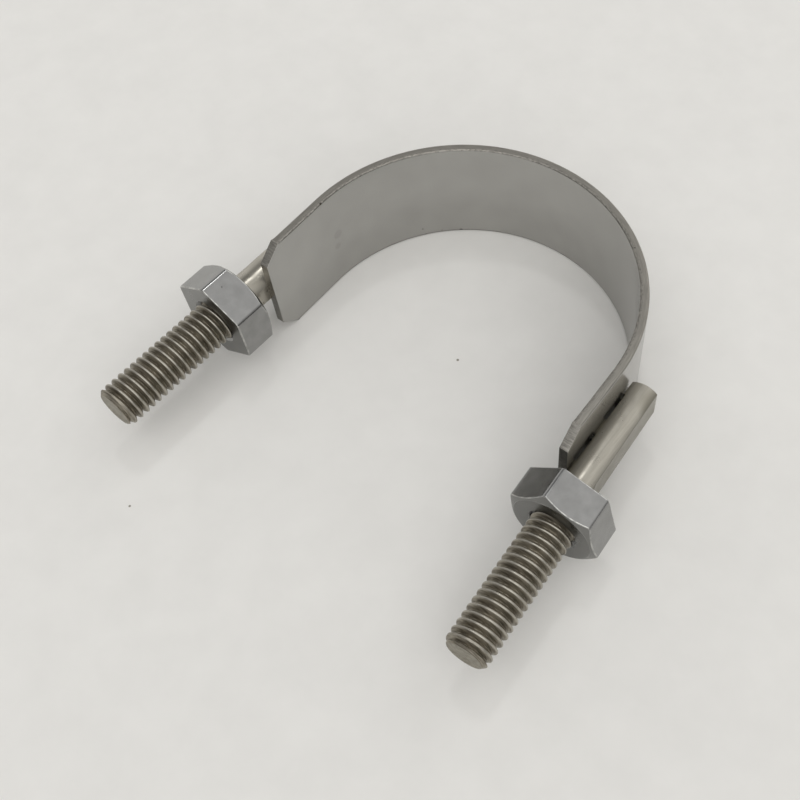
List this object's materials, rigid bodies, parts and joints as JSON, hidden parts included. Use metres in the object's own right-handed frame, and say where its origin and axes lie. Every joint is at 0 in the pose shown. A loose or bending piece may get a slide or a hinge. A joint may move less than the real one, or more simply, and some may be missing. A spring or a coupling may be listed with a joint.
{
  "type": "pipe strap",
  "caption": "U-shaped flat band that clamps a pipe against a support, with a threaded stud welded along the outside of each leg and a hex nut on each stud.",
  "frame": {"origin": "centre of the clamped pipe, the axis of the band's inner arc, at the middle of the band's width", "axes": "+Z along the pipe's axis, across the band's width; +Y from the pipe's centre to the crown of the arc, so the studs point to -Y; +X across from one stud to the other"},
  "size_m": [0.0992, 0.0912, 0.025],
  "materials": {
    "band_steel": "cold-rolled stainless strip, dull mill finish",
    "stud_steel": "drawn stainless wire with a rolled thread, satin",
    "nut_steel": "cold-formed stainless, smooth and bright"
  },
  "bodies": {
    "strap": {"band": "band_steel", "stud_left": "stud_steel", "stud_right": "stud_steel"},
    "left_nut": {"nut_left": "nut_steel"},
    "right_nut": {"nut_right": "nut_steel"}
  },
  "joints": [
    {"name": "left_nut_slide", "type": "slide", "parent": "strap", "child": "left_nut", "axis": [-0.0523, -0.9986, 0], "range_m": [-0.00317, 0.03415]},
    {"name": "right_nut_slide", "type": "slide", "parent": "strap", "child": "right_nut", "axis": [0.0523, -0.9986, 0], "range_m": [-0.00159, 0.0356]}
  ]
}
